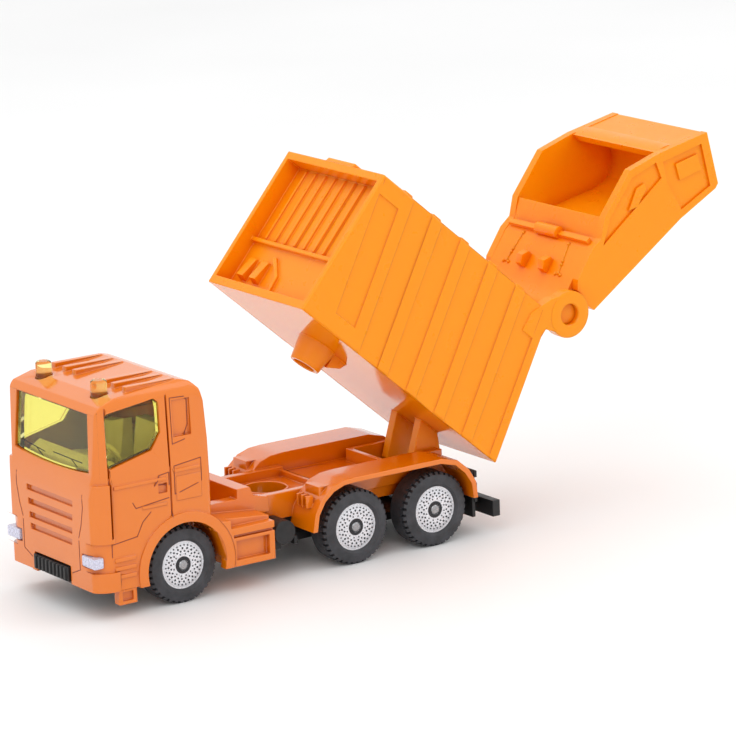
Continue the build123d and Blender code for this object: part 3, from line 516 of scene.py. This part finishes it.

# %% [markdown]
# Lines on the container
#
# Six leaning panels are tooled into each side wall. Their edges read as thin dark lines, the shadow where the
# wall steps, so a darker amber wire paints that shade along the rear and front edge of each panel.

# %% lines on the container's walls
PANEL_LEAN = math.tan(math.radians(13.8))
PANEL_LOW, PANEL_HIGH = 5.5, 27.2
PANEL_COUNT = 6
PANEL_START, PANEL_PITCH, PANEL_WIDTH = -0.7, 6.3, 4.1
FRONT_PANEL_LIFT = 2.6
BOX_FLOOR = 5.0
BOX_SIDE = 12.9
REAR_EDGE_LINE, FRONT_EDGE_LINE = 0.03, 0.05
shape = bmesh.new()
for side in (-1, 1):
    for index in range(PANEL_COUNT):
        foot = PANEL_START + index * PANEL_PITCH
        low = PANEL_LOW + (FRONT_PANEL_LIFT if index == PANEL_COUNT - 1 else 0.0)
        for across, width in ((0.0, REAR_EDGE_LINE), (PANEL_WIDTH, FRONT_EDGE_LINE)):
            line = [(foot + across + (t - BOX_FLOOR) * PANEL_LEAN, BOX_SIDE * side, t)
                    for t in (low, PANEL_HIGH)]
            drawn(shape, box_skin, CONTAINER, line, (0, -side, 0), width, step=3.0)
finish_piece(shape, "container_panel_lines", GROOVE_SHADE, "container",
             place=CONTAINER, tidy=False)

# %% [markdown]
# Hinge ears, and the chains on the hopper
#
# A turned collar rings each hinge ear. Two fine chains run down the hook panel, each with links as
# little beads, and they are the lightest relief on the toy.

# %% collars and chains
HINGE_S, HINGE_T = 0.06, 29.25
shape = bmesh.new()
for side in (-1, 1):
    collar = ((0.0, 1.62), (0.1, 1.72), (0.12, 2.0), (0.12, 3.1), (0.06, 3.36), (-0.1, 3.46))
    turned(shape, collar, (HINGE_S, 12.35 * side, HINGE_T), axis=(0, side, 0), steps=64)
finish_piece(shape, "hinge_collars", AMBER, "container", place=CONTAINER)

shape = bmesh.new()
for side in (-1, 1):
    drawn(shape, hopper_skin, HOPPER, [(9.4, 5.6 * side, 7.0), (4.8, 6.4 * side, 5.0)], (0, 0, -1), 0.16)
    for along, across in ((9.2, 5.6), (6.6, 6.1), (6.1, 6.2), (4.8, 6.4), (4.6, 7.0), (4.6, 5.8)):
        spot = hopper_skin.ray_cast(HOPPER @ Vector((along, across * side, 12.0)),
                                    (HOPPER.to_3x3() @ Vector((0, 0, -1))).normalized())[0]
        bead = bmesh.ops.create_uvsphere(shape, u_segments=14, v_segments=8, radius=0.3)["verts"]
        bmesh.ops.translate(shape, vec=HOPPER.inverted() @ spot, verts=bead)
finish_piece(shape, "hopper_chains", AMBER, "hopper", place=HOPPER, tidy=False)

# %% [markdown]
# Printed wheel faces
#
# Each wheel face carries a bright silver disc, printed with rings of black holes round a black ring at
# the axle. Print has almost no height, so the disc and its dots are thin coins, and their rounded
# rims catch just enough light.

# %% silver discs and their print
AXLES = (("front_wheels", 29.2), ("middle_wheels", 0.0), ("rear_wheels", -13.9))
AXLE_HEIGHT = 5.5
RIM_FACE = 11.0
DOT_RINGS = ((30, 2.86, 0.11), (20, 2.42, 0.15), (20, 2.0, 0.13), (12, 1.6, 0.12))
for body, wheel_x in AXLES:
    silver, ink = bmesh.new(), bmesh.new()
    for side in (-1, 1):
        hub = (wheel_x, RIM_FACE * side, AXLE_HEIGHT)
        disc = ((0.0, 3.2), (0.05, 3.14), (0.06, 2.6), (0.1, 2.5),
                (0.06, 2.2), (0.12, 1.75), (0.1, 1.3), (0.1, 0.8))
        turned(silver, disc, hub, axis=(0, side, 0))
        ring = ((0.08, 1.25), (0.16, 1.2), (0.17, 0.9), (0.14, 0.78))
        turned(ink, ring, hub, axis=(0, side, 0))
        for count, radius, dot in DOT_RINGS:
            for index in range(count):
                turn = math.tau * (index + 0.5 * (radius < 2.2)) / count
                foot = Vector(hub) + Vector((math.cos(turn) * radius, 0.03 * side, math.sin(turn) * radius))
                rod(ink, foot, foot + Vector((0, 0.1 * side, 0)), dot, edge=0, sides=10)
    finish_piece(silver, body + "_print", SILVER, body)
    finish_piece(ink, body + "_dots", INK, body, tidy=False)

# %% [markdown]
# Headlamps and wipers
#
# The headlamps are the only silver on the cab. Four fine black wires lie on the glass: two blades and
# their two arms.

# %% headlamps and wipers
shape = bmesh.new()
for side in (-1, 1):
    low, high = sorted((8.5 * side, 11.95 * side))
    block(shape, (42.4, low, 7.65), (43.98, high, 9.25), edge=0.25)
finish_piece(shape, "headlamps", LAMP_SILVER, "chassis")

glass_skin = skin_of(frame["nodes"]["glazing"])
shape = bmesh.new()
for blade in (((-8.5, 22.2), (-2.3, 21.6)), ((-4.6, 21.8), (-2.8, 20.9)), ((0.0, 22.0), (7.75, 21.9)),
              ((4.8, 21.95), (6.4, 21.1))):
    drawn(shape, glass_skin, TRUCK, [(44.0, y, z) for y, z in blade], (-1, 0, 0), 0.07)
finish_piece(shape, "wipers", BLACK, "chassis", tidy=False)

# %% [markdown]
# Studio
#
# A pale floor, a soft white surround and two large soft boxes: one high in front of the cab and one
# over the tail, so that edges catch a line of light without a hard shadow. The lens is long, as for
# product pictures, which keeps the truck's lines nearly parallel.

# %% floor, light and camera
def pale_floor():
    material, tree, shader, coords = new_finish("pale_floor")
    tone = ramp(tree, cloud(tree, coords, 120.0, 2.0), ((0.3, 0.86), (0.7, 0.9)))
    tree.links.new(tone, shader.inputs["Base Color"])
    shader.inputs["Roughness"].default_value = 0.6
    return material


floor_shape = bmesh.new()
bmesh.ops.create_grid(floor_shape, x_segments=1, y_segments=1, size=3.0)
floor_mesh = bpy.data.meshes.new("floor")
floor_shape.to_mesh(floor_mesh)
floor_shape.free()
floor_mesh.materials.append(pale_floor())
floor = bpy.data.objects.new("floor", floor_mesh)
bpy.context.scene.collection.objects.link(floor)


def soft_box(name, place, target, size, power):
    """A square area light that faces its target."""
    lamp = bpy.data.lights.new(name, "AREA")
    lamp.size = size
    lamp.energy = power
    holder = bpy.data.objects.new(name, lamp)
    holder.location = place
    holder.rotation_euler = (Vector(target) - Vector(place)).to_track_quat("-Z", "Y").to_euler()
    bpy.context.scene.collection.objects.link(holder)


soft_box("key_box", (0.30, 0.30, 0.42), (0.0, 0.0, 0.02), 0.34, 0.6)
soft_box("tail_box", (-0.34, 0.22, 0.36), (-0.02, 0.0, 0.03), 0.30, 0.3)
soft_box("top_box", (0.02, -0.10, 0.50), (0.0, 0.0, 0.02), 0.40, 0.4)
world = bpy.data.worlds.new("surround")
world.use_nodes = True
world.node_tree.nodes["Background"].inputs["Color"].default_value = (1.0, 1.0, 1.0, 1.0)
world.node_tree.nodes["Background"].inputs["Strength"].default_value = 1.0
bpy.context.scene.world = world
bpy.context.scene.view_settings.view_transform = "Standard"

VIEW_AZIMUTH = 145.827
VIEW_ELEVATION = 13.696
VIEW_ROLL = 1.975
VIEW_DISTANCE = 624.54
VIEW_TARGET = Vector((-7.226, 4.909, 26.557))
LENS = 212.4

azimuth, elevation = math.radians(VIEW_AZIMUTH), math.radians(VIEW_ELEVATION)
back = Vector((math.sin(azimuth) * math.cos(elevation),
               -math.cos(azimuth) * math.cos(elevation),
               math.sin(elevation)))
camera_data = bpy.data.cameras.new("portrait")
camera_data.lens = LENS
camera_data.clip_start = 0.01
camera = bpy.data.objects.new("portrait", camera_data)
camera.matrix_world = (Matrix.Translation((VIEW_TARGET + back * VIEW_DISTANCE) * MM)
                       @ back.to_track_quat("Z", "Y").to_matrix().to_4x4()
                       @ Matrix.Rotation(math.radians(-VIEW_ROLL), 4, "Z"))
bpy.context.scene.collection.objects.link(camera)
bpy.context.scene.camera = camera
